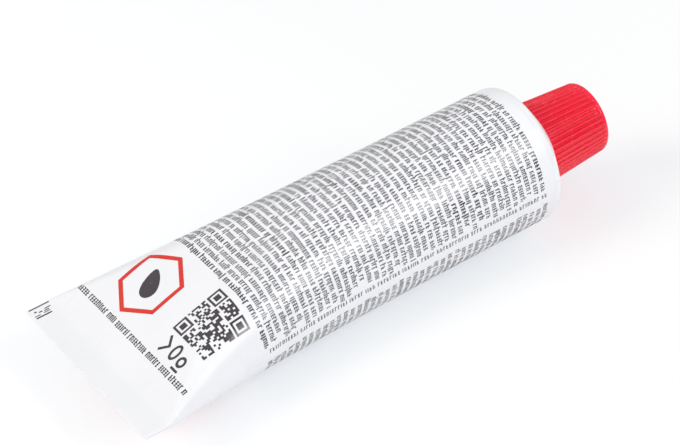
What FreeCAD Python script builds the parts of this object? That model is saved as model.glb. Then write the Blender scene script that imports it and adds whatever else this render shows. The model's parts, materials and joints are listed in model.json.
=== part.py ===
import FreeCAD, Part
import Sketcher
import math
import os

# A soft 20 g tube of hardener paste with a red screw cap, lying as it comes to rest.
# Every piece is drawn in the tube's own frame: X along the tube's axis towards the cap, Z square to the flat
# tail, and the origin on the axis in the plane of the shoulder's rim. At the end all the pieces get one
# placement, which lays the tube on the floor with its tail a little down.

PARTS = "parts"

SIZES = {
    # The soft sleeve, from the shoulder's rim to the cut end of the tail.
    "sleeve_radius": 9.5,
    "sleeve_length": 66.4,
    "taper_length": 49.3,      # from the weld to where the sleeve is fully round
    "fullness": 2.7,           # how fast it swells from the weld: 1 is a straight wedge
    "film_thickness": 0.3,
    "weld_length": 3.5,
    "crease_flat": 0.05,       # half of the narrow flat left along the top and the belly where it is round
    # The moulded head: shoulder, seat, neck and mouth.
    "sleeve_setback": 0.8,     # from the shoulder's rim back to the sleeve's cut edge
    "head_depth": 2.0,         # how far the head reaches into the sleeve
    "sleeve_step": 0.08,       # the sleeve stands proud of the head by this much
    "rim_round": 0.8,
    "shoulder_height": 2.1,
    "seat_margin": 0.25,       # the flat seat shows this far outside the cap
    "neck_radius": 3.25,
    "neck_length": 7.6,
    "neck_chamfer": 0.3,
    "mouth_radius": 1.5,
    "mouth_depth": 6.0,
    # The screw cap.
    "cap_mouth_radius": 5.69,
    "cap_crown_radius": 5.0,
    "crown_thickness": 1.2,
    "crown_round": 0.5,
    "thread_room": 0.7,        # between the neck's core and the cap's bore, where the two threads run
    "bore_chamfer": 0.35,
    "flute_count": 44,
    "flute_width": 0.56,       # between two crests, at the flute's rim
    "flute_floor": 0.36,
    "flute_depth": 0.2,
    # The sealing disc in the crown, and the gaps left between faces that meet.
    "seal_thickness": 0.8,
    "seal_play": 0.2,
    "seat_gap": 0.1,
    "face_gap": 0.05,
    # How it lies: the tail's droop in degrees, and how much the belly is pressed flat.
    "rest_tilt": 3.2,
    "belly_press": 0.2,
}

# Cross-sections drawn along the taper, and how much closer together they come towards the weld.
SECTION_COUNT = 22
SECTION_CROWDING = 0.8

# The flute's cutter reaches this many flute depths up from the flute's floor.
FLUTE_REACH = 1.5

# Places along X and radii that more than one piece uses.
SEAT_X = "Sizes.shoulder_height"
LIP_X = f"({SEAT_X} + Sizes.neck_length)"
CAP_MOUTH_X = f"({SEAT_X} + Sizes.seat_gap)"
SEAL_X = f"({LIP_X} + Sizes.face_gap)"
CROWN_INNER_X = f"({SEAL_X} + Sizes.seal_thickness + Sizes.face_gap)"
CROWN_X = f"({CROWN_INNER_X} + Sizes.crown_thickness)"
CAP_BORE = "(Sizes.neck_radius + Sizes.thread_room)"
HEAD_RADIUS = "(Sizes.sleeve_radius - Sizes.sleeve_step)"
WELD_X = "(Sizes.weld_length - Sizes.sleeve_length)"

doc = FreeCAD.newDocument("hardener_tube")


def fill_sheet():
    """Write the driving sizes into the spreadsheet, one named cell each."""
    sheet = doc.addObject("Spreadsheet::Sheet", "Sizes")
    for row, (name, value) in enumerate(SIZES.items(), start=1):
        sheet.set(f"A{row}", name)
        sheet.set(f"B{row}", str(value))
        sheet.setAlias(f"B{row}", name)
    doc.recompute()
    return sheet


def value_of(expression):
    """The number that an expression on the sheet's sizes comes to."""
    return float(sheet.evalExpression(expression))


def origin_plane(body, role):
    """One of the body's own origin planes or axes."""
    for feature in body.Origin.OriginFeatures:
        if feature.Role == role:
            return feature
    raise ValueError(role)


def new_body(label):
    body = doc.addObject("PartDesign::Body", label)
    body.Label = label
    return body


def new_sketch(body, name, role, offset="0"):
    """A sketch on one of the body's origin planes, moved along the plane's normal."""
    sketch = body.newObject("Sketcher::SketchObject", name)
    sketch.AttachmentSupport = (origin_plane(body, role), "")
    sketch.MapMode = "FlatFace"
    sketch.setExpression("AttachmentOffset.Base.z", offset)
    return sketch


def place_point(sketch, edge, end, axis, expression):
    """Hold one end of an edge at a distance from the sketch's origin along X or Y."""
    index = sketch.addConstraint(
        Sketcher.Constraint(f"Distance{axis}", -1, 1, edge, end, value_of(expression)))
    sketch.setExpression(f"Constraints[{index}]", expression)


def round_corner(sketch, edge, radius):
    """Round the corner where an edge starts, and give the point that stays where the sharp corner was."""
    sketch.fillet(edge, 1, value_of(radius), True, True)
    arc = sketch.GeometryCount - 2
    index = sketch.addConstraint(Sketcher.Constraint("Radius", arc, value_of(radius)))
    sketch.setExpression(f"Constraints[{index}]", radius)
    return arc + 1


def draw_profile(sketch, corners, rounds=None):
    """A closed outline; each corner is a pair of expressions, "0" lies on the axis, and rounds gives radii."""
    points = [FreeCAD.Vector(value_of(x), value_of(y), 0) for x, y in corners]
    for start, end in zip(points, points[1:] + points[:1]):
        sketch.addGeometry(Part.LineSegment(start, end))
    for edge in range(len(corners)):
        before = (edge - 1) % len(corners)
        sketch.addConstraint(Sketcher.Constraint("Coincident", before, 2, edge, 1))
    held = list(range(len(corners)))
    for edge, radius in (rounds or {}).items():
        held[edge] = round_corner(sketch, edge, radius)
    for item, (x, y) in zip(held, corners):
        place_point(sketch, item, 1, "X", x)
        if y == "0":
            sketch.addConstraint(Sketcher.Constraint("PointOnObject", item, 1, -1))
        else:
            place_point(sketch, item, 1, "Y", y)


def revolve(body, name, corners, rounds):
    """Turn a profile of distances along X and radii about the tube's axis."""
    sketch = new_sketch(body, f"{name}_profile", "XY_Plane")
    draw_profile(sketch, corners, rounds)
    solid = body.newObject("PartDesign::Revolution", name)
    solid.Profile = sketch
    solid.ReferenceAxis = (sketch, ["H_Axis"])
    solid.Angle = 360
    doc.recompute()
    return solid


def round_edges_at(solid, x, radius):
    """Names of the full circles of one radius at one place along the axis."""
    names = []
    for number, edge in enumerate(solid.Shape.Edges, start=1):
        if not isinstance(edge.Curve, Part.Circle):
            continue
        same_place = math.isclose(edge.Curve.Center.x, value_of(x), abs_tol=1e-4)
        same_radius = math.isclose(edge.Curve.Radius, value_of(radius), abs_tol=1e-4)
        if same_place and same_radius:
            names.append(f"Edge{number}")
    return names


def chamfer(body, name, solid, place, radius, size_name):
    """Break the round edge at a place along the axis."""
    feature = body.newObject("PartDesign::Chamfer", name)
    feature.Base = (solid, round_edges_at(solid, place, radius))
    feature.setExpression("Size", f"Sizes.{size_name}")
    doc.recompute()
    return feature


def roundness(share):
    """How round the sleeve is, from nearly 0 at the weld to 1: its half-thickness over its full radius."""
    flatness = "(1 - Sizes.film_thickness / Sizes.sleeve_radius)"
    return f"(1 - {flatness} * pow(1 - {share}; Sizes.fullness))"


def draw_section(body, name, place, round_share):
    """One cross-section of the sleeve: two half circles joined by flats, with the same girth at any roundness."""
    radius = f"Sizes.sleeve_radius * {round_share}"
    half_flat = f"(1 - {round_share}) * pi * Sizes.sleeve_radius / 2 + Sizes.crease_flat"
    end_radius = value_of(radius)
    centre = value_of(half_flat)
    quarter = math.pi / 2
    sketch = new_sketch(body, name, "YZ_Plane", place)
    right = Part.Circle(FreeCAD.Vector(centre, 0, 0), FreeCAD.Vector(0, 0, 1), end_radius)
    left = Part.Circle(FreeCAD.Vector(-centre, 0, 0), FreeCAD.Vector(0, 0, 1), end_radius)
    upper = [FreeCAD.Vector(side * centre, end_radius, 0) for side in (-1, 1)]
    lower = [FreeCAD.Vector(side * centre, -end_radius, 0) for side in (1, -1)]
    sketch.addGeometry(Part.LineSegment(*upper))
    sketch.addGeometry(Part.ArcOfCircle(right, -quarter, quarter))
    sketch.addGeometry(Part.LineSegment(*lower))
    sketch.addGeometry(Part.ArcOfCircle(left, quarter, 3 * quarter))
    for joint in ((0, 2, 1, 2), (1, 1, 2, 1), (2, 2, 3, 2), (3, 1, 0, 1)):
        sketch.addConstraint(Sketcher.Constraint("Tangent", *joint))
    sketch.addConstraint(Sketcher.Constraint("Horizontal", 0))
    for arc in (1, 3):
        sketch.addConstraint(Sketcher.Constraint("PointOnObject", arc, 3, -1))
    index = sketch.addConstraint(Sketcher.Constraint("Radius", 1, end_radius))
    sketch.setExpression(f"Constraints[{index}]", radius)
    for ends in ((-1, 1, 1, 3), (3, 3, -1, 1)):
        index = sketch.addConstraint(Sketcher.Constraint("DistanceX", *ends, centre))
        sketch.setExpression(f"Constraints[{index}]", half_flat)
    return sketch


def make_sleeve(body):
    """Loft the sleeve from the flat weld to the shoulder, then add the weld itself."""
    sections = []
    for number in range(SECTION_COUNT):
        share = 1 - (1 - number / (SECTION_COUNT - 1)) ** SECTION_CROWDING
        place = f"{WELD_X} + {share} * Sizes.taper_length"
        sections.append(draw_section(body, f"section_{number}", place, roundness(share)))
    sections.append(draw_section(body, "section_front", "-Sizes.sleeve_setback", "1"))
    doc.recompute()
    sleeve = body.newObject("PartDesign::AdditiveLoft", "sleeve")
    sleeve.Profile = sections[0]
    sleeve.Sections = [(section, [""]) for section in sections[1:]]
    sleeve.Ruled = True
    doc.recompute()
    weld = body.newObject("PartDesign::Pad", "weld")
    weld.Profile = sections[0]
    weld.Reversed = True
    weld.setExpression("Length", "Sizes.weld_length")
    doc.recompute()


def press_belly(body):
    """Press the belly flat where the tube lies on the floor: cut it along the floor's plane."""
    taper = "Sizes.taper_length"
    swell = "(Sizes.sleeve_radius - Sizes.film_thickness)"
    steepness = f"({taper} * tan(Sizes.rest_tilt * 1deg) / ({swell} * Sizes.fullness))"
    left_over = f"pow({steepness}; 1 / (Sizes.fullness - 1))"
    touch_x = f"{WELD_X} + (1 - {left_over}) * {taper}"
    touch_z = f"{swell} * pow({left_over}; Sizes.fullness) - Sizes.sleeve_radius"
    sketch = new_sketch(body, "floor", "XY_Plane", f"{touch_z} + Sizes.belly_press")
    sketch.AttachmentOffset = FreeCAD.Placement(
        sketch.AttachmentOffset.Base, FreeCAD.Rotation(FreeCAD.Vector(0, 1, 0), value_of("Sizes.rest_tilt")))
    sketch.setExpression("AttachmentOffset.Base.x", touch_x)
    sketch.setExpression("AttachmentOffset.Rotation.Angle", "Sizes.rest_tilt")
    reach = "Sizes.sleeve_radius * 2"
    draw_profile(sketch, [(f"-{reach}", f"-{reach}"), (reach, f"-{reach}"), (reach, reach), (f"-{reach}", reach)])
    doc.recompute()
    whole = body.Shape.Volume
    pocket = body.newObject("PartDesign::Pocket", "pressed_belly")
    pocket.Profile = sketch
    pocket.Type = "ThroughAll"
    doc.recompute()
    if not pocket.Shape.Volume < whole:
        raise RuntimeError("the belly was not pressed flat")


def make_tube():
    """Sleeve, weld, shoulder and neck with the paste inside: one solid, open only at the mouth of the neck."""
    body = new_body("tube")
    make_sleeve(body)
    seat_radius = "(Sizes.cap_mouth_radius + Sizes.seat_margin)"
    head_back = "(-Sizes.sleeve_setback - Sizes.head_depth)"
    mouth_floor = f"({LIP_X} - Sizes.mouth_depth)"
    head = revolve(body, "head", [
        (head_back, "0"),
        (head_back, HEAD_RADIUS),
        ("0", HEAD_RADIUS),
        (SEAT_X, seat_radius),
        (SEAT_X, "Sizes.neck_radius"),
        (LIP_X, "Sizes.neck_radius"),
        (LIP_X, "Sizes.mouth_radius"),
        (mouth_floor, "Sizes.mouth_radius"),
        (mouth_floor, "0"),
    ], {2: "Sizes.rim_round"})
    chamfer(body, "lip", head, LIP_X, "Sizes.neck_radius", "neck_chamfer")
    press_belly(body)
    return body


def draw_flute_end(body):
    """The flute's section where it stops under the crown's round, on a plane square to the cap's slope."""
    slope = f"((Sizes.cap_mouth_radius - Sizes.cap_crown_radius) / ({CROWN_X} - {CAP_MOUTH_X}))"
    lean = f"atan({slope})"
    stop = f"({CROWN_X} - Sizes.crown_round)"
    floor_height = f"Sizes.cap_crown_radius + Sizes.crown_round * {slope} - Sizes.flute_depth"
    sketch = new_sketch(body, "flute_end", "YZ_Plane", stop)
    sketch.AttachmentOffset = FreeCAD.Placement(
        sketch.AttachmentOffset.Base, FreeCAD.Rotation(FreeCAD.Vector(1, 0, 0), value_of(lean)))
    sketch.setExpression("AttachmentOffset.Rotation.Angle", lean)
    sketch.setExpression("AttachmentOffset.Base.y", floor_height)
    half_floor = "Sizes.flute_floor / 2"
    half_top = f"({half_floor} + (Sizes.flute_width - Sizes.flute_floor) / 2 * {FLUTE_REACH})"
    top = f"Sizes.flute_depth * {FLUTE_REACH}"
    draw_profile(sketch, [(f"-{half_floor}", "0"), (half_floor, "0"), (half_top, top), (f"-{half_top}", top)])
    return sketch


def make_cap():
    """The screw cap: a tapered cup with a rounded crown and straight flutes all round."""
    body = new_body("cap")
    shell = revolve(body, "cap_shell", [
        (CAP_MOUTH_X, CAP_BORE),
        (CAP_MOUTH_X, "Sizes.cap_mouth_radius"),
        (CROWN_X, "Sizes.cap_crown_radius"),
        (CROWN_X, "0"),
        (CROWN_INNER_X, "0"),
        (CROWN_INNER_X, CAP_BORE),
    ], {2: "Sizes.crown_round"})
    whole = chamfer(body, "bore_lead_in", shell, CAP_MOUTH_X, CAP_BORE, "bore_chamfer")
    sketch = draw_flute_end(body)
    doc.recompute()
    flute = body.newObject("PartDesign::Pocket", "flute")
    flute.Profile = sketch
    flute.Type = "ThroughAll"
    doc.recompute()
    flutes = body.newObject("PartDesign::PolarPattern", "flutes")
    flutes.Originals = [flute]
    flutes.Axis = (origin_plane(body, "X_Axis"), [""])
    flutes.Angle = 360
    flutes.setExpression("Occurrences", "Sizes.flute_count")
    body.Tip = flutes
    doc.recompute()
    if not body.Shape.Volume < flute.Shape.Volume < whole.Shape.Volume:
        raise RuntimeError("the flutes were not cut")
    return body


def make_cap_seal():
    """The loose sealing disc between the mouth of the neck and the crown of the cap."""
    body = new_body("cap_seal")
    sketch = new_sketch(body, "disc_outline", "YZ_Plane", SEAL_X)
    radius = f"{CAP_BORE} - Sizes.seal_play"
    sketch.addGeometry(Part.Circle(FreeCAD.Vector(), FreeCAD.Vector(0, 0, 1), value_of(radius)))
    sketch.addConstraint(Sketcher.Constraint("Coincident", 0, 3, -1, 1))
    index = sketch.addConstraint(Sketcher.Constraint("Radius", 0, value_of(radius)))
    sketch.setExpression(f"Constraints[{index}]", radius)
    disc = body.newObject("PartDesign::Pad", "disc")
    disc.Profile = sketch
    disc.setExpression("Length", "Sizes.seal_thickness")
    doc.recompute()
    return body


def lay_down(bodies):
    """Tip all the pieces tail down together and stand them on the floor, centred over the origin."""
    tip = FreeCAD.Rotation(FreeCAD.Vector(0, 1, 0), -value_of("Sizes.rest_tilt"))
    for body in bodies:
        body.Placement = FreeCAD.Placement(FreeCAD.Vector(), tip)
    doc.recompute()
    box = Part.makeCompound([body.Shape for body in bodies]).optimalBoundingBox(False, False)
    shift = FreeCAD.Vector(-box.Center.x, -box.Center.y, -box.ZMin)
    for body in bodies:
        body.Placement = FreeCAD.Placement(shift, tip)
    doc.recompute()


def check_and_write(bodies):
    """Stop at anything that failed, then write one file for each piece."""
    for item in doc.Objects:
        if {"Invalid", "Error"} & set(item.State):
            raise RuntimeError(f"{item.Name} failed: {item.State}")
    for body in bodies:
        if body.Shape.isNull() or not body.Shape.isValid():
            raise RuntimeError(f"{body.Label} has no valid shape")
    os.makedirs(PARTS, exist_ok=True)
    for body in bodies:
        body.Shape.exportStep(f"{PARTS}/{body.Label}.step")
        print(body.Label, len(body.Shape.Solids), "solid", round(body.Shape.Volume, 1), "mm3")


sheet = fill_sheet()
pieces = [make_tube(), make_cap(), make_cap_seal()]
lay_down(pieces)
check_and_write(pieces)
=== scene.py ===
import json
import math
import random
from collections import namedtuple

import bpy
import numpy as np
from mathutils import Matrix, Vector


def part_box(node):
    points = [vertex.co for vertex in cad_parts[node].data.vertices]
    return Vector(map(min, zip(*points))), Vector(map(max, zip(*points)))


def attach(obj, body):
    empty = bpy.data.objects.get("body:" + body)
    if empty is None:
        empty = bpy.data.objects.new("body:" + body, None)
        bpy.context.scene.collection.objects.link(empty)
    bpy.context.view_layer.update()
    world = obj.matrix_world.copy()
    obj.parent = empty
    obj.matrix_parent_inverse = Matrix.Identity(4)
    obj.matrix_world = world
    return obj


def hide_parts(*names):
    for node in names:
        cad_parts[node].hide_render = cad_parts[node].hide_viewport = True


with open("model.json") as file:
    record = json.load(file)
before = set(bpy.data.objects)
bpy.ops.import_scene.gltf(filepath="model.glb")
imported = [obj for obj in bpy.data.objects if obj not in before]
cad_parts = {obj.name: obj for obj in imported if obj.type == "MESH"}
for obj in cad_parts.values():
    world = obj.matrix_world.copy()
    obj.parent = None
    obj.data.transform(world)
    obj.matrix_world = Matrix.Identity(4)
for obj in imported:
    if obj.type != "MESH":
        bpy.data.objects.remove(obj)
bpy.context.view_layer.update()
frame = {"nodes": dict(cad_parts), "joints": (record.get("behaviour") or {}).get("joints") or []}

# A soft tube of hardener with a red screw cap, lying on a white floor.
# Lengths are in millimetres in the tube's own frame: X along its axis towards the cap, Y along the
# flat tail, Z square to it, and the origin on the axis in the plane of the shoulder's rim. to_row()
# takes points from there to metres in the row frame. A place on the sleeve is given as x and girth:
# girth is measured round the sleeve from its top line, positive towards +Y.
MM = 0.001

# The sleeve. Its sizes, the head's and the cap's are those of the solids.
SLEEVE_RADIUS = 9.5
SLEEVE_LENGTH = 66.4
TAPER_LENGTH = 49.3          # from the weld to where the sleeve is fully round
FULLNESS = 2.7               # how fast it swells from the weld: 1 is a straight wedge
FILM = 0.3
WELD_LENGTH = 3.5
CREASE_FLAT = 0.05           # half of the narrow flat left along the top and the belly where it is round
SLEEVE_SETBACK = 0.8         # from the shoulder's rim back to the sleeve's cut edge
WELD_X = WELD_LENGTH - SLEEVE_LENGTH
HALF_GIRTH = math.pi * SLEEVE_RADIUS + 2 * CREASE_FLAT
BREAK_SOFTNESS = 0.5         # over which the slope changes at the weld
EDGE_TURN = 0.06             # the cut edge is turned in by this much
WELD_PRESS = 0.05            # how far the sealing jaws have pressed each face of the weld
WELD_STEP = 0.2              # over which that pressing begins

# The waviness of the film: its depth, each wave's turn per mm of x, its waves round the girth and
# its phase, and the lengths over which the waves fade in from the weld and out towards the head.
WAVE_DEPTH = 0.05
WAVES = ((0.33, 3, 0), (0.21, -5, 1.3), (0.52, 2, 4))
WAVE_FADE_TAIL = 12
WAVE_FADE_HEAD = 8

# The head: shoulder, seat, neck and mouth.
SLEEVE_STEP = 0.08           # the sleeve stands proud of the head by this much
HEAD_RADIUS = SLEEVE_RADIUS - SLEEVE_STEP
HEAD_DEPTH = 2.0             # how far the head reaches into the sleeve
RIM_ROUND = 0.8
SEAT_X = 2.1
SEAT_MARGIN = 0.25           # the flat seat shows this far outside the cap
SEAT_ROUND = 0.12
NECK_RADIUS = 3.25
NECK_LENGTH = 7.6
NECK_FOOT_ROUND = 0.1
NECK_CHAMFER = 0.3
LIP_X = SEAT_X + NECK_LENGTH
MOUTH_RADIUS = 1.5
MOUTH_DEPTH = 6.0
MOUTH_EDGE_ROUND = 0.1
MOUTH_FLOOR_ROUND = 0.2

# The cap.
SEAT_GAP = 0.1
CAP_MOUTH_X = SEAT_X + SEAT_GAP
CAP_MOUTH_RADIUS = 5.69
CAP_MOUTH_ROUND = 0.12
SEAL_ROOM = 0.9              # from the lip to the crown, for the disc and its gaps
CROWN_INNER_X = LIP_X + SEAL_ROOM
CROWN_THICKNESS = 1.2
CROWN_X = CROWN_INNER_X + CROWN_THICKNESS
CROWN_RADIUS = 5.0
CROWN_ROUND = 0.5
THREAD_ROOM = 0.7            # between the neck's core and the bore, where the two threads run
CAP_BORE = NECK_RADIUS + THREAD_ROOM
BORE_CHAMFER = 0.35
BORE_ROUND = 0.3
FLUTES = 44
FLUTE_FLOOR = 0.36
FLUTE_DEPTH = 0.2
RUN_OUT = 0.4                # over which a flute rises to its end

# The threads: one ridge each, with its section as (along x, share of the ridge's height).
PITCH = 1.5
THREAD_SECTION = ((-0.4, 0), (-0.3, 0.35), (-0.17, 0.9), (-0.1, 1),
                  (0.1, 1), (0.17, 0.9), (0.3, 0.35), (0.4, 0))
NECK_CREST = 3.75
CAP_CREST = 3.45
THREAD_ROOT = 0.03           # a ridge starts this far inside the wall that carries it
THREAD_STEPS = 96            # in each turn
THREAD_RISE = 3              # a ridge comes to its full height in one turn over this
THREAD_MARGIN = 1.0          # from the end of a wall to where its thread starts
CAP_THREAD_LENGTH = 4.2

AXIS_GAP = 0.01              # radius of the pinhole where a turned face meets the axis

# How a line of made-up marks is drawn: its height and weight, the gap between marks and the rise of a
# tall mark in heights, the width of a mark's arms, and whether the line runs along x.
Hand = namedtuple("Hand", "height weight gap tall narrow turned", defaults=(0.16, 1.4, 1.0, False))
ROW_HAND = Hand(0.64, 0.14)
LINE_HAND = Hand(0.62, 0.13, gap=0.3, tall=1.0, turned=True)
TAIL_HAND = Hand(0.72, 0.13, gap=0.17, tall=1.15, narrow=0.8)
# The kinds of mark, by the running share of the marks that they make up; the rest are ladders.
STEM, HOOK, COMB, PAIR = 0.22, 0.42, 0.64, 0.82
WORD_LENGTHS = (2, 3, 4, 5, 6, 6, 7, 8, 9, 11)
WORD_GAP = 0.42              # in heights
LEAST_ROOM = 0.3             # in heights: a line ends where less is left
BOLD = 1.45                  # a bold word's weight over a plain one's
ALL_WORDS = range(99)

# The print's places.
INK_LIFT = 0.015             # ink lies this far above the film
INK_CELL = 0.7               # the largest quad of ink, small enough to follow the sleeve
ROW_PITCH = 1.1
TEXT_X = (-47.3, -2.7)
TEXT_GIRTH = (17.0, -14.5)
SIDE_TEXT_X = (-46.9, -2.7)
SIDE_TEXT_GIRTH = (-16.5, -26.0)
LINE_GIRTH = -15.4
LINE_X = (-46.6, -2.0)
TAIL_ROW_X = -59.8
TAIL_ROW_GIRTH = (12.6, -12.9)
CODE_CENTRE = (-51.8, -7.3)
CODE_SIDE = 7.16
CODE_CELLS = 25
CODE_INK = 0.52              # the share of cells that are inked
TARGET_CELLS = 7
EMBLEM_CENTRE = (-53.46, 4.43)
EMBLEM_RADIUS = 4.85
EMBLEM_LINE = 0.68
DROP_REACH = (2.1, 1.2)      # half-length and half-width
DROP_TAPER = 0.35
DROP_LEAN = math.radians(35)
MARKS_X = -58.2
MARKS_HEIGHT = 2.2
MARKS_WEIGHT = 0.36
UNDER_FIELD_X = (-61.0, -52.0)
UNDER_FIELD_REACH = 8        # to each side of the belly line

# The stage. Azimuths and elevations are in degrees, distances and lamp sizes in metres.
WORLD_COLOUR = (0.955, 0.965, 1.0)
WORLD_LIGHT = 0.64           # how strongly the surround lights the tube
WORLD_SLOPE = 0.25           # by how much more from the front, and less from the back
LIGHT_FRONT = (-70, 0)
GLOSS_LEVEL = 0.5            # the surround that a gloss mirrors, all round
GLOSS_FRONT = 0.15           # and towards the front
GLOSS_DARK = (-57, 30)
GLOSS_EDGE = (0.55, 0.92)    # the cosines of the angle from there over which it dims
LAMP_AIM = (0, 0, 0.01)
FLOOR_REACH = 3.0
FLOOR_LEVEL = -0.00003
FLOOR_PLAIN = (0.92, 0.92, 0.925)  # the floor's colour as it lights the tube
FLOOR_SHADE = (0.48, 0.45, 0.40)   # its colour to the camera, raised to white by its own glow
# The glow is bluer than the shade colour above, so the floor's shadows take a painted bluish tint.
FLOOR_GLOW = (0.85, 0.915, 1.0)
FLOOR_LIFT = (0.638, 0.574)        # that glow's strength under the tail and under the cap; stronger under the tail, as painted light that pales the shadows there
FLOOR_LIFT_X = (-0.045, 0.035)
CAMERA_AIM = (-0.141, 1.525, 10.616)
CAMERA_DISTANCE = 0.30624
CAMERA_TOWARDS = (-122.3416, 37.495)
CAMERA_LEAN = -3.2954
CAMERA_LENS = 126.68


# ---------------------------------------------------------------- places

def tube_matrix():
    """The tube's own frame, in metres, in the row frame.

    The cap turns about the tube's axis, and the top edge of the tail's cut end is the tube's lowest x.
    """
    turn = next(joint for joint in frame["joints"] if joint["name"] == "cap_turn")
    axis = Vector(turn["axis"]).normalized()
    pivot = Vector(turn["pos_m"])
    side = Vector((0, 1, 0))
    up = axis.cross(side)
    low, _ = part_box("tube")
    origin_x = low.x + (SLEEVE_LENGTH * axis.x + FILM * up.z * axis.z) * MM
    matrix = Matrix((axis, side, up)).transposed().to_4x4()
    matrix.translation = pivot + axis * ((origin_x - pivot.x) / axis.x)
    return np.array(matrix)


TUBE = tube_matrix()


def to_row(points):
    """Millimetres in the tube's frame to metres in the row frame."""
    return np.asarray(points, float) * MM @ TUBE[:3, :3].T + TUBE[:3, 3]


def roundness(x):
    """How round the sleeve is at x: its half-thickness over its full radius."""
    share = (x - WELD_X) / TAPER_LENGTH
    softness = BREAK_SOFTNESS / TAPER_LENGTH
    share = np.clip((share + np.sqrt(share ** 2 + softness ** 2)) / 2, 0, 1)
    return 1 - (1 - FILM / SLEEVE_RADIUS) * (1 - share) ** FULLNESS


def dent(x, girth):
    """How far the film is pressed in: flat along the weld, and in long shallow waves up to the head."""
    turn = math.pi * girth / HALF_GIRTH
    waves = sum(np.sin(along * x + around * turn + phase) for along, around, phase in WAVES)
    share = (1 + waves / len(WAVES)) / 2
    fade = np.clip((x - WELD_X) / WAVE_FADE_TAIL, 0, 1) * np.clip(-x / WAVE_FADE_HEAD, 0, 1)
    return WAVE_DEPTH * fade * share + WELD_PRESS * np.clip((WELD_X - x) / WELD_STEP, 0, 1)


def skin(x, girth, lift=0.0):
    """Points on the sleeve in the row frame: two half circles joined by flats, of constant girth."""
    x, girth = np.broadcast_arrays(np.asarray(x, float), np.asarray(girth, float))
    girth = (girth + HALF_GIRTH) % (2 * HALF_GIRTH) - HALF_GIRTH
    radius = roundness(x) * SLEEVE_RADIUS
    half_flat = (SLEEVE_RADIUS - radius) * math.pi / 2 + CREASE_FLAT
    reach = np.abs(girth)
    turn = np.clip((reach - half_flat) / radius, 0, math.pi)
    under = np.clip(reach - half_flat - math.pi * radius, 0, None)
    out = lift - dent(x, girth)
    y = np.minimum(reach, half_flat) + (radius + out) * np.sin(turn) - under
    z = (radius + out) * np.cos(turn)
    points = to_row(np.stack([x, np.sign(girth) * y, z], axis=-1))
    points[..., 2] = np.maximum(points[..., 2], 0)    # the belly lies flat on the floor
    return points


# ---------------------------------------------------------------- meshes

def new_piece(name, vertices, faces, body, material, smooth_angle=40):
    """A mesh piece in the row frame, smooth except where it turns by more than an angle."""
    mesh = bpy.data.meshes.new(name)
    mesh.from_pydata([tuple(v) for v in np.asarray(vertices).reshape(-1, 3)], [], [list(f) for f in faces])
    mesh.validate()
    mesh.shade_smooth()
    mesh.set_sharp_from_angle(angle=math.radians(smooth_angle))
    mesh.materials.append(material)
    piece = bpy.data.objects.new(name, mesh)
    bpy.context.scene.collection.objects.link(piece)
    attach(piece, body)
    return piece


def strip_faces(rows, columns, wrap=True, start=0):
    """Quads between the points of a grid; wrap joins the last column to the first."""
    faces = []
    last = columns if wrap else columns - 1
    for row in range(rows - 1):
        here = start + row * columns
        there = here + columns
        for column in range(last):
            beside = (column + 1) % columns
            faces.append((here + column, here + beside, there + beside, there + column))
    return faces


def angles_round(count):
    """Even angles round a full turn."""
    return np.linspace(0, 2 * math.pi, count, endpoint=False)


def lathe(profile, columns, radius_at=None):
    """Turn (x, radius) points about the tube's axis; radius_at(x, radius, angles) can shape the turn."""
    angles = angles_round(columns)
    rows = []
    for x, radius in profile:
        around = radius_at(x, radius, angles) if radius_at else np.full(columns, radius)
        ring = [np.full(columns, x), around * np.cos(angles), around * np.sin(angles)]
        rows.append(np.stack(ring, axis=-1))
    return to_row(np.concatenate(rows)), strip_faces(len(profile), columns)


def rounded(corners, steps=6):
    """An (x, radius) outline from (x, radius, round) corners, each round one drawn as an arc."""
    outline = []
    for number, (x, y, size) in enumerate(corners):
        if not size:
            outline.append((x, y))
            continue
        here = Vector((x, y))
        before = (Vector(corners[number - 1][:2]) - here).normalized()
        after = (Vector(corners[number + 1][:2]) - here).normalized()
        half = before.angle(after) / 2
        centre = here + (before + after).normalized() * (size / math.sin(half))
        start = here + before * (size / math.tan(half)) - centre
        end = here + after * (size / math.tan(half)) - centre
        for step in range(steps + 1):
            spoke = start.lerp(end, step / steps)
            outline.append(tuple(centre + spoke.normalized() * size))
    return outline


def spread(start, end, count):
    """Even steps from start to end, without the end."""
    return list(np.linspace(start, end, count, endpoint=False))


def spread_between(*stops):
    """Even steps between (place, count) stops: each stop's count leads up to the next stop."""
    places = []
    for (start, count), (end, _) in zip(stops, stops[1:]):
        places += spread(start, end, count)
    return places


# ---------------------------------------------------------------- materials

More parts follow.
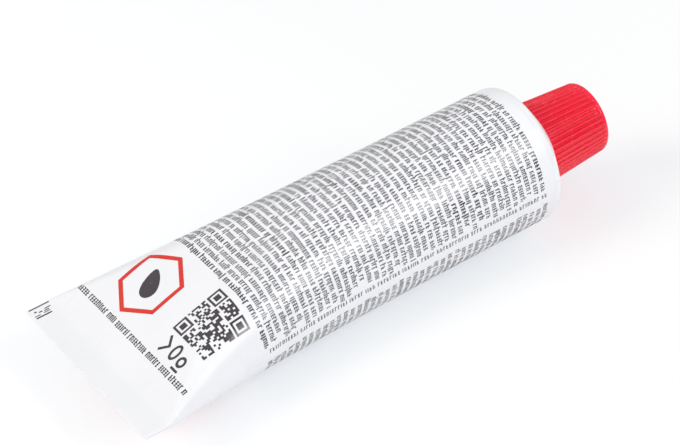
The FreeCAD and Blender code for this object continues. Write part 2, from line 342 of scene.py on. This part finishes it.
class Nodes:
    """The node tree of a material or the world, with short ways to add and join nodes."""

    def __init__(self, owner, shader="Principled BSDF"):
        owner.use_nodes = True
        self.owner = owner
        self.tree = owner.node_tree
        self.shader = self.tree.nodes[shader]
        self.places = self.add("TexCoord").outputs

    def add(self, kind, **settings):
        """A new node; each setting is the plain value of an input or one of the node's own properties."""
        node = self.tree.nodes.new(f"ShaderNode{kind}")
        for name, value in settings.items():
            if name in node.inputs:
                node.inputs[name].default_value = value
            else:
                setattr(node, name, value)
        return node

    def feed(self, socket, value):
        """Give an input a plain value or colour, or join another node's output to it."""
        if isinstance(value, bpy.types.NodeSocket):
            self.tree.links.new(value, socket)
        elif socket.type == "RGBA":
            socket.default_value = (*value, 1)
        else:
            socket.default_value = value

    def shade(self, values):
        """Feed the shader's inputs by name."""
        for name, value in values.items():
            self.feed(self.shader.inputs[name], value)

    def noise(self, scale, detail=3.0, stretch=None):
        """Noise over the object; scale is in waves per metre, and stretch squeezes the axes."""
        node = self.add("TexNoise", Scale=scale, Detail=detail)
        source = self.places["Object"]
        if stretch:
            mapping = self.add("Mapping", Scale=stretch)
            self.feed(mapping.inputs["Vector"], source)
            source = mapping.outputs["Vector"]
        self.feed(node.inputs["Vector"], source)
        return node.outputs["Fac"]

    def range_of(self, factor, low, high, low_in=0.3, high_in=0.7, **settings):
        """Map a factor onto a range, by default from the middle of a noise's own range."""
        node = self.add("MapRange", **settings)
        ends = {"Value": factor, "From Min": low_in, "From Max": high_in, "To Min": low, "To Max": high}
        for name, value in ends.items():
            self.feed(node.inputs[name], value)
        return node.outputs["Result"]

    def mix(self, factor, first, second, data_type="RGBA", socket_type="RGBA"):
        """Go from first to second by a 0 to 1 factor."""
        node = self.add("Mix", data_type=data_type)
        ends = [socket for socket in node.inputs if socket.type == socket_type and socket.name in "AB"]
        for socket, value in zip(ends, (first, second)):
            self.feed(socket, value)
        self.feed(node.inputs[0], factor)
        return next(socket for socket in node.outputs if socket.type == socket_type)

    def calculate(self, operation, first, second):
        """The result of a sum on two outputs."""
        node = self.add("Math", operation=operation)
        self.feed(node.inputs[0], first)
        self.feed(node.inputs[1], second)
        return node.outputs[0]

    def bump(self, *layers):
        """Stack bumps of (height output, strength, distance in metres) onto the shader's normal."""
        normal = None
        for height, strength, distance in layers:
            node = self.add("Bump", Strength=strength, Distance=distance)
            self.feed(node.inputs["Height"], height)
            if normal:
                self.feed(node.inputs["Normal"], normal)
            normal = node.outputs["Normal"]
        self.feed(self.shader.inputs["Normal"], normal)


def film_material(name, first, second, roughness, shine=0.5, ior=1.45):
    """Glossy laminate film: faint cloudiness, fine grain and a soft waviness in the shine."""
    nodes = Nodes(bpy.data.materials.new(name))
    cloud = nodes.noise(160, detail=4)
    grain = nodes.noise(5200, detail=2)
    wave = nodes.noise(240, detail=2, stretch=(0.35, 1, 1))
    nodes.shade({
        "Base Color": nodes.mix(nodes.range_of(cloud, 0, 1), first, second),
        "Roughness": nodes.range_of(wave, roughness - 0.03, roughness + 0.04),
        "Specular IOR Level": shine,
        "IOR": ior,
    })
    nodes.bump((wave, 0.1, 0.00004), (grain, 0.08, 0.000003))
    return nodes.owner


def moulded_material(name, first, second, roughness, soft=0.0, grain_depth=0.00001, shine=0.5,
                     painted_flute_shade=None):
    """Moulded plastic: slight mottling, a fine matt grain and a little light let in.

    With a hollow colour given, the flutes between the ribs are painted darker, as painted shade in the
    hollows.
    """
    nodes = Nodes(bpy.data.materials.new(name))
    mottle = nodes.noise(900, detail=4)
    grain = nodes.noise(7000, detail=2)
    colour = nodes.mix(nodes.range_of(mottle, 0, 1), first, second)
    # Painted shade: the colour darkens from the ribs' crests down to the flutes' floors.
    if painted_flute_shade:
        rib = nodes.add("Attribute", attribute_name="rib").outputs["Fac"]
        colour = nodes.mix(nodes.range_of(rib, 0, 1, low_in=0.55, high_in=0.95), painted_flute_shade, colour)
    nodes.shade({
        "Base Color": colour,
        "Roughness": nodes.range_of(mottle, roughness - 0.04, roughness + 0.05),
        "Specular IOR Level": shine,
        "Subsurface Weight": soft,
        "Subsurface Radius": (1.0, 0.6, 0.5),
        "Subsurface Scale": 0.0008,
    })
    nodes.bump((grain, 0.2, grain_depth))
    return nodes.owner


def foam_material():
    """The cap's pressed foam disc: matt, with small closed cells."""
    nodes = Nodes(bpy.data.materials.new("seal_foam"))
    cells = nodes.add("TexVoronoi", Scale=4000)
    nodes.feed(cells.inputs["Vector"], nodes.places["Object"])
    depth = cells.outputs["Distance"]
    nodes.shade({
        "Base Color": nodes.mix(nodes.range_of(depth, 0, 1), (0.72, 0.71, 0.68), (0.84, 0.83, 0.8)),
        "Roughness": 0.8,
    })
    nodes.bump((depth, 0.4, 0.00004))
    return nodes.owner


# ---------------------------------------------------------------- the tube

def sleeve_piece(material):
    """The film sleeve: a grid round the girth, a turned-in front edge and the cut end of the weld."""
    columns = 360
    step = 2 * HALF_GIRTH / columns
    girths = step * np.arange(columns) - HALF_GIRTH
    front = -SLEEVE_SETBACK
    # The rings crowd where the slope changes at the weld.
    places = spread_between((-SLEEVE_LENGTH, 8), (WELD_X - 1, 3), (WELD_X - 0.3, 8), (WELD_X + 0.2, 14),
                            (WELD_X + 3, 110), (front - EDGE_TURN, 0))
    rows = [skin(x, girths) for x in places + [front - EDGE_TURN]]
    rows += [skin(front, girths, lift=-EDGE_TURN), skin(front, girths, lift=-2 * EDGE_TURN)]
    faces = strip_faces(len(rows), columns)
    # The cut end of the weld closes between its folds, from each point on top to the one below it.
    half = columns // 2
    fold = columns // 4
    for column in range(half):
        above, beside = fold + column, fold + column + 1
        below, under = (fold - column) % columns, (fold - column - 1) % columns
        if column == 0:
            faces.append((above, beside, under))
        elif column == half - 1:
            faces.append((above, beside, below))
        else:
            faces.append((above, beside, under, below))
    return new_piece("tube_sleeve", np.concatenate(rows), faces, "tube", material)


def head_piece(material):
    """Shoulder, seat, neck and mouth, turned in one piece."""
    profile = rounded([
        (-HEAD_DEPTH, HEAD_RADIUS, 0),
        (0, HEAD_RADIUS, RIM_ROUND),
        (SEAT_X, CAP_MOUTH_RADIUS + SEAT_MARGIN, SEAT_ROUND),
        (SEAT_X, NECK_RADIUS, NECK_FOOT_ROUND),
        (LIP_X, NECK_RADIUS, NECK_CHAMFER),
        (LIP_X, MOUTH_RADIUS, MOUTH_EDGE_ROUND),
        (LIP_X - MOUTH_DEPTH, MOUTH_RADIUS, MOUTH_FLOOR_ROUND),
        (LIP_X - MOUTH_DEPTH, AXIS_GAP, 0),
    ])
    vertices, faces = lathe(profile, columns=192)
    new_piece("tube_head", vertices, faces, "tube", material)


def thread_piece(name, body, material, root, crest, start, end, phase=0.0):
    """A screw thread: a ridge that climbs one pitch a turn and fades out at both ends."""
    turns = (end - start) / PITCH
    steps = int(turns * THREAD_STEPS)
    points = []
    for step in range(steps + 1):
        share = step / steps
        angle = 2 * math.pi * turns * share
        height = min(1, share * turns * THREAD_RISE, (1 - share) * turns * THREAD_RISE)
        for along, out in THREAD_SECTION:
            radius = root + (crest - root) * out * height
            x = start + (end - start) * share + along
            points.append((x, radius * math.cos(angle + phase), radius * math.sin(angle + phase)))
    count = len(THREAD_SECTION)
    faces = strip_faces(steps + 1, count)
    faces += [tuple(range(count)), tuple(range(steps * count, (steps + 1) * count))]
    new_piece(name, to_row(points), faces, body, material)


# ---------------------------------------------------------------- the cap

def cap_piece(material):
    """The fluted screw cap: a tapered cup with round-topped ribs, a rounded crown and a bore."""
    slope = (CAP_MOUTH_RADIUS - CROWN_RADIUS) / (CROWN_X - CAP_MOUTH_X)
    flute_end = CROWN_X - CROWN_ROUND
    pitch = 2 * math.pi / FLUTES
    columns = FLUTES * 24    # 24 to each rib and flute
    inner_ring = CAP_MOUTH_RADIUS - 1.6 * FLUTE_DEPTH    # on the mouth's face, inside the flutes' floors
    first_ring = CAP_MOUTH_X + 0.3                       # of the ribbed sides, past the mouth's round
    crown_arc = 0.95 * CROWN_ROUND                       # it begins just past the flutes' ends

    def wall_radius(x):
        """The radius over the crests of the ribs."""
        return CAP_MOUTH_RADIUS - slope * (x - CAP_MOUTH_X)

    def ribbed(x, radius, angles):
        """The radius round the cap: ribs with arched tops between flutes, up to where the flutes end."""
        reach = wall_radius(x)
        if radius < reach - FLUTE_DEPTH or x >= flute_end:
            return np.full(angles.shape, radius)
        half_rib = (pitch * reach - FLUTE_FLOOR) / 2
        arc = (half_rib ** 2 + FLUTE_DEPTH ** 2) / (2 * FLUTE_DEPTH)
        across = np.abs((angles / pitch) % 1 - 0.5) * pitch * reach
        rib = np.sqrt(np.clip(arc ** 2 - across ** 2, 0, None)) - (arc - FLUTE_DEPTH)
        left = min((flute_end - x) / RUN_OUT, 1)
        smooth = left * left * (3 - 2 * left)
        return radius - smooth * (FLUTE_DEPTH - np.clip(rib, 0, None))

    inside = rounded([
        (CROWN_INNER_X, AXIS_GAP, 0),
        (CROWN_INNER_X, CAP_BORE, BORE_ROUND),
        (CAP_MOUTH_X + BORE_CHAMFER, CAP_BORE, 0),
        (CAP_MOUTH_X, CAP_BORE + BORE_CHAMFER, 0),
        (CAP_MOUTH_X, inner_ring, 0),
        (CAP_MOUTH_X, CAP_MOUTH_RADIUS, CAP_MOUTH_ROUND),
        (flute_end, wall_radius(flute_end), 0),
    ])
    places = spread_between((first_ring, 10), (flute_end - RUN_OUT, 12), (flute_end, 0))
    sides = [(x, wall_radius(x)) for x in places]
    crown = rounded([
        (flute_end, wall_radius(flute_end), 0),
        (CROWN_X, CROWN_RADIUS, crown_arc),
        (CROWN_X, 0, 0),
    ], steps=8)
    # The crown dishes a little towards a shallow pit, which holds the nub of the moulding gate.
    dish = ((0.03, 3.4), (0.04, 1.4), (0.1, 1.15), (0.1, 0.4), (0.06, 0.3), (0.05, AXIS_GAP))
    gate = [(CROWN_X - depth, radius) for depth, radius in dish]
    outline = inside[:-1] + sides + crown[1:-1] + gate

    vertices, faces = lathe(outline, columns, ribbed)
    piece = new_piece("cap_shell", vertices, faces, "cap", material, smooth_angle=60)
    # The rib attribute is 1 on a rib's crest and 0 on a flute's floor; the material paints the flutes
    # darker by it, as painted shade.
    angles = angles_round(columns)
    height = [1 - (radius - ribbed(x, radius, angles)) / FLUTE_DEPTH for x, radius in outline]
    rib_height = piece.data.attributes.new("rib", "FLOAT", "POINT")
    rib_height.data.foreach_set("value", np.concatenate(height))
    return piece


# ---------------------------------------------------------------- print

def heading(angle):
    """A unit vector at an angle."""
    return Vector((math.cos(angle), math.sin(angle)))


class Print:
    """Shapes of ink laid on the sleeve, each a patch of small quads in x and girth."""

    def __init__(self):
        self.places = []
        self.faces = []

    def patch(self, corners, cell=INK_CELL):
        """A four-cornered shape, cut into cells small enough to follow the sleeve's curve."""
        a, b, c, d = (Vector(corner) for corner in corners)
        across = max(1, math.ceil(max((b - a).length, (c - d).length) / cell))
        along = max(1, math.ceil(max((d - a).length, (c - b).length) / cell))
        start = len(self.places)
        for row in range(along + 1):
            left = a.lerp(d, row / along)
            right = b.lerp(c, row / along)
            for column in range(across + 1):
                self.places.append(tuple(left.lerp(right, column / across)))
        self.faces += strip_faces(along + 1, across + 1, wrap=False, start=start)

    def bar(self, x, girth, length, width):
        """A bar from a corner: length along x and width along the girth."""
        self.patch([(x, girth), (x + length, girth), (x + length, girth + width), (x, girth + width)])

    def stroke(self, start, end, width):
        """A straight stroke of ink between two places."""
        start, end = Vector(start), Vector(end)
        side = (end - start).normalized().orthogonal() * width / 2
        self.patch([start - side, start + side, end + side, end - side])

    def band(self, outer, inner, cell=INK_CELL):
        """A band between two lines of as many points."""
        for k in range(len(outer) - 1):
            self.patch([outer[k], outer[k + 1], inner[k + 1], inner[k]], cell)

    def ring(self, centre, reach, width, sides=20):
        """An oval ring of ink; reach is its outer half-length and half-width."""
        spokes = [heading(2 * math.pi * k / sides) for k in range(sides + 1)]
        hole = Vector(reach) - Vector((width, width))
        self.band([Vector(centre) + spoke * Vector(reach) for spoke in spokes],
                  [Vector(centre) + spoke * hole for spoke in spokes])

    def piece(self, name, slot, material):
        """All the shapes as one piece, which rides on the tube."""
        places = np.array(self.places)
        points = skin(places[:, 0], places[:, 1], INK_LIFT)
        new_piece(name, points, self.faces, "tube", material)


def greek_mark(sheet, chance, hand, place, base, weight):
    """One made-up mark that can't be read, and how wide it is. It runs on from a place along the line."""
    height = hand.height

    def bar(up, along, length, width):
        """A bar of the mark, from a corner up from the base and along the line."""
        if hand.turned:
            sheet.bar(place + along, base + up, width, length)
        else:
            sheet.bar(base + up, place - along - width, length, width)

    kind = chance.random()
    rise = height * chance.choice((1.0, 1.0, 1.0, hand.tall))
    foot = height * chance.choice((0, 0, 0, 0, 1 - hand.tall)) * 0.8
    arm = height * chance.uniform(0.2, 0.3) * hand.narrow
    thin = height * 0.2
    # The parts of each kind of mark are shares of its height, weight and arm.
    if kind < STEM:
        bar(foot, 0, rise - foot, weight)
        return weight
    if kind < HOOK:
        bar(foot, 0, rise - foot, weight)
        bar(height * 0.78, weight, height * 0.22, arm)
        return weight + arm
    if kind < COMB:
        bar(0, 0, height, weight)
        bar(height * 0.42, weight, thin, arm)
        bar(0, weight, thin, arm)
        return weight + arm
    if kind < PAIR:
        bar(0, 0, rise, weight)
        bar(0, weight + arm * 0.8, height * chance.choice((1.0, 0.6)), weight * 0.8)
        bar(height * 0.8, weight, thin, arm * 0.8)
        return weight * 1.8 + arm * 0.8
    for level in (0, 0.4, 0.8):
        bar(height * level, 0, thin, weight + arm)
    bar(0, weight * 0.6, height, weight * 0.7)
    return weight + arm


def greek_line(sheet, chance, hand, base, start, end, bold_words=()):
    """A line of marks in words, from start down to end along the girth, or up along x if it is turned."""
    place = start
    way = 1 if hand.turned else -1
    word = 0
    while (end - place) * way > 0:
        weight = hand.weight * (BOLD if word in bold_words else 1.0)
        for _ in range(chance.choice(WORD_LENGTHS)):
            if (end - place) * way < hand.height * LEAST_ROOM:
                break
            used = greek_mark(sheet, chance, hand, place, base, weight)
            place += way * (used + hand.height * hand.gap)
        place += way * hand.height * WORD_GAP
        word += 1


def rows_piece(name, seed, span, girths, ragged, material):
    """A block of text rows round the girth, the first all bold and the others with a few bold words."""
    sheet = Print()
    chance = random.Random(seed)
    first_x, last_x = span
    start, end = girths
    for number in range(int((last_x - first_x) / ROW_PITCH) + 1):
        x = first_x + number * ROW_PITCH
        bold = ALL_WORDS
        if number > 0:
            first_bold = chance.choice((-9, -9, 0, 1, 3, 5, 8))
            bold = range(first_bold, first_bold + chance.choice((1, 2, 2, 4)))
        short = chance.uniform(0, 1) ** 3 * ragged
        shift = chance.uniform(0, 0.5)
        greek_line(sheet, chance, ROW_HAND, x, start - shift, end + short, bold)
    sheet.piece(name, "print_dark", material)


def line_piece(name, seed, hand, base, span, material, bold_words=()):
    """One line of marks as a piece of its own."""
    sheet = Print()
    greek_line(sheet, random.Random(seed), hand, base, *span, bold_words)
    sheet.piece(name, "print_dark", material)


def code_piece(material):
    """A square field of random cells with three target squares; it holds no data."""
    sheet = Print()
    chance = random.Random(7)
    cell = CODE_SIDE / CODE_CELLS
    corner_x = CODE_CENTRE[0] - CODE_SIDE / 2
    corner_girth = CODE_CENTRE[1] + CODE_SIDE / 2

    def fill(column, row, wide, tall):
        """Ink a block of cells, from its first column and row."""
        sheet.bar(corner_x + row * cell, corner_girth - (column + wide) * cell, tall * cell, wide * cell)

    edge = TARGET_CELLS - 1
    far = CODE_CELLS - TARGET_CELLS
    targets = ((0, 0), (0, far), (far, far))
    for column, row in targets:
        fill(column, row, TARGET_CELLS, 1)
        fill(column, row + edge, TARGET_CELLS, 1)
        fill(column, row + 1, 1, edge - 1)
        fill(column + edge, row + 1, 1, edge - 1)
        fill(column + 2, row + 2, edge - 3, edge - 3)

    def by_target(column, row):
        """Whether a cell is in a target or right beside it."""
        return any(-1 <= column - left <= TARGET_CELLS and -1 <= row - top <= TARGET_CELLS
                   for left, top in targets)

    for row in range(CODE_CELLS):
        column = 0
        while column < CODE_CELLS:
            run = 0
            while column + run < CODE_CELLS and chance.random() < CODE_INK:
                if by_target(column + run, row):
                    break
                run += 1
            if run:
                fill(column, row, run, 1)
            column += run + 1
    sheet.piece("print_code", "print_dark", material)


def emblem_pieces(red, dark):
    """A plain emblem: a red six-sided outline round a slanted dark drop."""
    centre = Vector(EMBLEM_CENTRE)
    outline = Print()
    corners = [heading(math.radians(60 * k)) for k in range(7)]
    outline.band([centre + corner * EMBLEM_RADIUS for corner in corners],
                 [centre + corner * (EMBLEM_RADIUS - EMBLEM_LINE) for corner in corners], cell=0.4)
    outline.piece("emblem_outline", "print_red", red)
    drop = Print()
    steps = 24
    length, width = DROP_REACH
    turn = Matrix.Rotation(DROP_LEAN, 2)
    rim = []
    for step in range(steps + 1):
        out = heading(2 * math.pi * step / steps)
        rim.append(turn @ Vector((length * out.x, width * out.y * (1 - DROP_TAPER * out.x))))
    core = 0.02              # the drop fills up to a core of this share of its size
    drop.band([centre + point for point in rim], [centre + point * core for point in rim], cell=0.5)
    drop.piece("emblem_drop", "print_dark", dark)


def marks_piece(material):
    """Three bold marks beside the code: a chevron, a tall ring and a small ring on a bar."""
    sheet = Print()
    middle = MARKS_X + MARKS_HEIGHT / 2
    point = 0.12             # the chevron's two strokes cross by this much at its point
    sheet.stroke((MARKS_X, -4.6), (middle + point, -5.75), MARKS_WEIGHT)
    sheet.stroke((middle - point, -5.75), (MARKS_X + MARKS_HEIGHT, -4.6), MARKS_WEIGHT)
    sheet.ring((middle, -7.1), (MARKS_HEIGHT / 2, 0.72), MARKS_WEIGHT)
    sheet.ring((MARKS_X + 0.75, -8.9), (0.75, 0.72), MARKS_WEIGHT)
    sheet.bar(MARKS_X - 0.55, -9.6, 0.3, 1.4)
    sheet.piece("print_marks", "print_dark", material)


def weld_marks_piece(material):
    """A long thin bar and a few short strokes near the corner of the weld."""
    sheet = Print()
    # Each is (x, girth, length, width).
    strokes = (
        (-66.2, 14.25, 2.9, 0.2),
        (-65.8, 13.5, 0.35, 0.22),
        (-65.3, 13.2, 0.5, 0.2),
        (-64.4, 13.45, 0.9, 0.17),
        (-64.6, 13.1, 0.7, 0.17),
        (-66.1, 12.75, 0.8, 0.15),
        (-64.8, 12.8, 0.9, 0.15),
        (-66.1, 12.3, 2.2, 0.25),
    )
    for stroke in strokes:
        sheet.bar(*stroke)
    sheet.piece("weld_marks", "print_dark", material)


def under_field_piece(material):
    """A plain red field on the flat underside by the weld, which tints the floor under it."""
    sheet = Print()
    start, end = UNDER_FIELD_X
    sheet.bar(start, HALF_GIRTH - UNDER_FIELD_REACH, end - start, 2 * UNDER_FIELD_REACH)
    sheet.piece("under_field", "print_red", material)


# ---------------------------------------------------------------- stage

def pointing(azimuth, elevation):
    """The unit vector towards an azimuth and elevation in degrees."""
    azimuth, elevation = math.radians(azimuth), math.radians(elevation)
    level = math.cos(elevation)
    return Vector((math.cos(azimuth) * level, math.sin(azimuth) * level, math.sin(elevation)))


def make_floor():
    """A smooth white floor that reads as white to the camera and keeps the object's shadow; its glow is
    painted stronger under the tail, which pales that shadow there, and its shadows are painted bluish.
    """
    nodes = Nodes(bpy.data.materials.new("floor_white"))
    path = nodes.add("LightPath").outputs
    seen = path["Is Camera Ray"]
    for ray in ("Is Glossy Ray", "Is Transmission Ray"):
        seen = nodes.calculate("MAXIMUM", seen, path[ray])
    apart = nodes.add("SeparateXYZ")
    nodes.feed(apart.inputs[0], nodes.places["Object"])
    # Painted light: the glow falls off from under the tail towards the cap, so the shadows are paler under
    # the tail.
    glow = nodes.range_of(apart.outputs["X"], *FLOOR_LIFT, *FLOOR_LIFT_X)
    nodes.shade({
        "Base Color": nodes.mix(seen, FLOOR_PLAIN, FLOOR_SHADE),
        "Roughness": 0.4,
        "Specular IOR Level": 0.3,
        "Emission Color": FLOOR_GLOW,
        "Emission Strength": nodes.calculate("MULTIPLY", seen, glow),
    })
    sides = ((-1, -1), (1, -1), (1, 1), (-1, 1))
    corners = [(x * FLOOR_REACH, y * FLOOR_REACH, FLOOR_LEVEL) for x, y in sides]
    mesh = bpy.data.meshes.new("floor")
    mesh.from_pydata(corners, [], [(0, 1, 2, 3)])
    mesh.materials.append(nodes.owner)
    floor = bpy.data.objects.new("floor", mesh)
    bpy.context.scene.collection.objects.link(floor)


def make_world():
    """A white surround, full white where it is seen. It lights the tube more from the front.

    What a gloss mirrors of it is dimmer, and dimmest towards the front.
    """
    world = bpy.data.worlds.new("surround")
    bpy.context.scene.world = world
    nodes = Nodes(world, "Background")
    path = nodes.add("LightPath").outputs

    def facing(direction, low_in, high_in, low, high):
        """A level that goes from low to high as a ray turns towards a direction."""
        turned = nodes.add("VectorMath", operation="DOT_PRODUCT")
        nodes.feed(turned.inputs[0], nodes.places["Generated"])
        nodes.feed(turned.inputs[1], pointing(*direction))
        return nodes.range_of(turned.outputs["Value"], low, high, low_in, high_in,
                              interpolation_type="SMOOTHSTEP")

    def choose(ray, first, second):
        """One level for most rays, and another for rays of a kind."""
        return nodes.mix(path[ray], first, second, data_type="FLOAT", socket_type="VALUE")

    lit = facing(LIGHT_FRONT, -1, 1, WORLD_LIGHT * (1 - WORLD_SLOPE), WORLD_LIGHT * (1 + WORLD_SLOPE))
    mirrored = facing(GLOSS_DARK, *GLOSS_EDGE, GLOSS_LEVEL, GLOSS_FRONT)
    level = choose("Is Glossy Ray", lit, mirrored)
    level = choose("Is Transmission Ray", level, 1.0)
    level = choose("Is Camera Ray", level, 1.0)
    nodes.shade({"Color": WORLD_COLOUR, "Strength": level})


def add_light(name, azimuth, elevation, distance, size, power, colour=(1, 1, 1), roll=0.0):
    """A soft rectangular light aimed at the tube from an azimuth and elevation in degrees."""
    light = bpy.data.lights.new(name, "AREA")
    light.shape = "RECTANGLE"
    light.size, light.size_y = size
    light.energy = power
    light.color = colour
    lamp = bpy.data.objects.new(name, light)
    bpy.context.scene.collection.objects.link(lamp)
    direction = pointing(azimuth, elevation)
    lamp.location = Vector(LAMP_AIM) + direction * distance
    rolled = Matrix.Rotation(math.radians(roll), 3, "Z").to_quaternion()
    lamp.rotation_euler = (direction.to_track_quat("Z", "Y") @ rolled).to_euler()


def make_camera():
    """The view from above the tube's left, leaning a little, through a long lens."""
    back = pointing(*CAMERA_TOWARDS)
    right = Vector((0, 0, 1)).cross(back).normalized()
    up = back.cross(right)
    lean = math.radians(CAMERA_LEAN)
    across = right * math.cos(lean) + up * math.sin(lean)
    above = back.cross(across)
    matrix = Matrix((across, above, back)).transposed().to_4x4()
    matrix.translation = Vector(CAMERA_AIM) * MM + back * CAMERA_DISTANCE
    data = bpy.data.cameras.new("camera")
    data.lens = CAMERA_LENS
    data.sensor_width = 36
    data.clip_start = 0.01
    camera = bpy.data.objects.new("camera", data)
    camera.matrix_world = matrix
    bpy.context.scene.collection.objects.link(camera)
    bpy.context.scene.camera = camera


# ---------------------------------------------------------------- the scene

film = film_material("film_white", (0.83, 0.837, 0.86), (0.855, 0.86, 0.88), 0.29, shine=0.3)
ink = film_material("ink_dark", (0.032, 0.022, 0.029), (0.048, 0.036, 0.045), 0.26, shine=1.0, ior=1.55)
ink_red = film_material("ink_red", (0.66, 0.035, 0.022), (0.72, 0.05, 0.035), 0.26)
head_plastic = moulded_material("head_plastic", (0.84, 0.845, 0.855), (0.87, 0.87, 0.875), 0.34, soft=0.15)
# The cap's hollow colour is painted shade in the flutes between its ribs.
cap_plastic = moulded_material("cap_plastic", (0.94, 0.002, 0.036), (0.98, 0.004, 0.044), 0.24,
                               grain_depth=0.000003, shine=0.65, painted_flute_shade=(0.78, 0.001, 0.02))

sleeve = sleeve_piece(film)
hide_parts("tube")
head_piece(head_plastic)
thread_piece("neck_thread", "tube", head_plastic, NECK_RADIUS - THREAD_ROOT, NECK_CREST,
             SEAT_X + THREAD_MARGIN, LIP_X - THREAD_MARGIN)
cap = cap_piece(cap_plastic)
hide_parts("cap")
cap_thread_x = CAP_MOUTH_X + THREAD_MARGIN
thread_piece("cap_thread", "cap", cap_plastic, CAP_BORE + THREAD_ROOT, CAP_CREST,
             cap_thread_x, cap_thread_x + CAP_THREAD_LENGTH, phase=math.pi)
seal_materials = frame["nodes"]["cap_seal"].data.materials
seal_materials.clear()
seal_materials.append(foam_material())

rows_piece("print_rows", 11, TEXT_X, TEXT_GIRTH, 1.4, ink)
rows_piece("print_rows_side", 23, SIDE_TEXT_X, SIDE_TEXT_GIRTH, 1.2, ink)
line_piece("print_line", 5, LINE_HAND, LINE_GIRTH, LINE_X, ink)
line_piece("print_tail_row", 3, TAIL_HAND, TAIL_ROW_X, TAIL_ROW_GIRTH, ink, bold_words=ALL_WORDS)
code_piece(ink)
emblem_pieces(ink_red, ink)
marks_piece(ink)
weld_marks_piece(ink)
under_field_piece(ink_red)

make_floor()
make_world()
add_light("key", 170, 38, distance=0.9, size=(0.4, 0.4), power=3.7, colour=(1.0, 0.97, 0.9))
add_light("strip", -60.3, 39.4, distance=0.5, size=(0.12, 0.3), power=0.78, roll=-26.1)
make_camera()
bpy.context.scene.view_settings.view_transform = "Standard"

bpy.context.view_layer.update()
